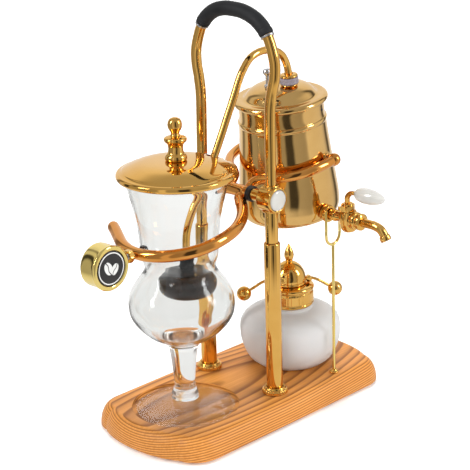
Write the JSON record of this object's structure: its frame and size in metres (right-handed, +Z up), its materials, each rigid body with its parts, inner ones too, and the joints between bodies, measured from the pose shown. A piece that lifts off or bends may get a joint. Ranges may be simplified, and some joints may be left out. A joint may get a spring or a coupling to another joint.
{
  "type": "balance siphon coffee maker",
  "caption": "Balance siphon coffee maker: gold-plated boiler and counterweight on a tilting beam, glass goblet, frosted spirit lamp, wooden base.",
  "frame": {"origin": "floor level, below the middle of the overall box", "axes": "+Z up, +X along the base from the goblet to the boiler and lamp, +Y to the back, away from the tap"},
  "size_m": [0.3347, 0.2012, 0.3992],
  "materials": {
    "wood": "satin",
    "polished_brass": "mirror polished",
    "boiler_brass": "mirror polished",
    "weight_brass": "mirror polished",
    "steel": "satin",
    "black_plastic": "matt",
    "grip_rubber": "matt",
    "foot_rubber": "matt",
    "porcelain": "gloss",
    "clear_glass": "clear",
    "frosted_glass": "frosted",
    "silicone": "satin",
    "filter_dark": "satin",
    "cotton": "woven"
  },
  "bodies": {
    "frame": {"base_board": "wood", "foot_pad_1": "foot_rubber", "foot_pad_2": "foot_rubber", "foot_pad_3": "foot_rubber", "foot_pad_4": "foot_rubber", "column_foot_front": "polished_brass", "column_foot_rear": "polished_brass", "column_lower_front": "polished_brass", "column_lower_rear": "polished_brass", "column_bolt_front": "steel", "column_bolt_rear": "steel", "column_upper_front": "polished_brass", "column_upper_rear": "polished_brass", "tee_front": "polished_brass", "tee_rear": "polished_brass", "porcelain_cap_front": "porcelain", "porcelain_cap_rear": "porcelain", "thrust_collar_front": "black_plastic", "thrust_collar_rear": "black_plastic", "cross_shaft": "steel", "handle_tube": "polished_brass", "handle_grip": "grip_rubber", "grip_ring_front": "steel", "grip_ring_rear": "steel", "tap_guide": "polished_brass", "tap_guide_foot": "polished_brass", "glass_goblet": "clear_glass"},
    "beam": {"beam_sleeve": "polished_brass", "fork_arm_front": "polished_brass", "fork_arm_rear": "polished_brass", "pivot_pin_front": "steel", "pivot_pin_rear": "steel", "counterweight_arm": "polished_brass", "counterweight_stud": "steel", "stud_inner_nut": "black_plastic", "stud_lock_nut": "polished_brass"},
    "weight": {"counterweight": "weight_brass", "badge_disc": "black_plastic"},
    "boiler": {"boiler_shell": "boiler_brass", "boiler_lid": "boiler_brass", "filler_neck": "polished_brass", "stopper_seal": "silicone", "stopper_nut": "polished_brass", "safety_valve": "steel", "tap_flange_nut": "polished_brass", "tap_body": "polished_brass", "tap_bonnet_nut": "polished_brass", "siphon_tube": "polished_brass", "filter_neck": "grip_rubber", "filter_body": "filter_dark"},
    "tap_lever": {"tap_plug": "polished_brass", "tap_handle": "porcelain"},
    "goblet_cover": {"goblet_lid": "polished_brass", "lid_finial": "polished_brass"},
    "lamp": {"lamp_font": "frosted_glass", "lamp_collar": "polished_brass", "wick_tube": "steel", "wick": "cotton"},
    "snuffer_front_half": {"snuffer_front": "polished_brass"},
    "snuffer_rear_half": {"snuffer_rear": "polished_brass"}
  },
  "joints": [
    {"name": "beam_tilt", "type": "hinge", "parent": "frame", "child": "beam", "pos_m": [0.02195, 0.02735, 0.2196], "axis": [0, 1, 0], "range_deg": [0, 5]},
    {"name": "boiler_swing", "type": "hinge", "parent": "beam", "child": "boiler", "pos_m": [0.10195, 0.02735, 0.2404], "axis": [0, 1, 0], "range_deg": [-5, 0]},
    {"name": "counterweight_adjust", "type": "slide", "parent": "beam", "child": "weight", "axis": [1, 0, 0], "range_m": [-0.004, 0.003]},
    {"name": "tap_turn", "type": "hinge", "parent": "boiler", "child": "tap_lever", "pos_m": [0.09199, -0.05065, 0.19882], "axis": [-0.0985, 0, 0.9951], "range_deg": [0, 90]},
    {"name": "goblet_lid_lift", "type": "slide", "parent": "frame", "child": "goblet_cover", "axis": [0, 0, 1], "range_m": [0, 0.014]},
    {"name": "lamp_slide_out", "type": "slide", "parent": "frame", "child": "lamp", "axis": [0, 1, 0], "range_m": [0, 0.045]},
    {"name": "snuffer_front_open", "type": "hinge", "parent": "lamp", "child": "snuffer_front_half", "pos_m": [0.10773, 0.01494, 0.1086], "axis": [0.6428, 0.766, 0], "range_deg": [0, 25]},
    {"name": "snuffer_rear_open", "type": "hinge", "parent": "lamp", "child": "snuffer_rear_half", "pos_m": [0.07816, 0.03976, 0.1086], "axis": [-0.6428, -0.766, 0], "range_deg": [0, 25]}
  ],
  "couplings": [
    {"joint": "boiler_swing", "follows": "beam_tilt", "ratio": -1}
  ]
}
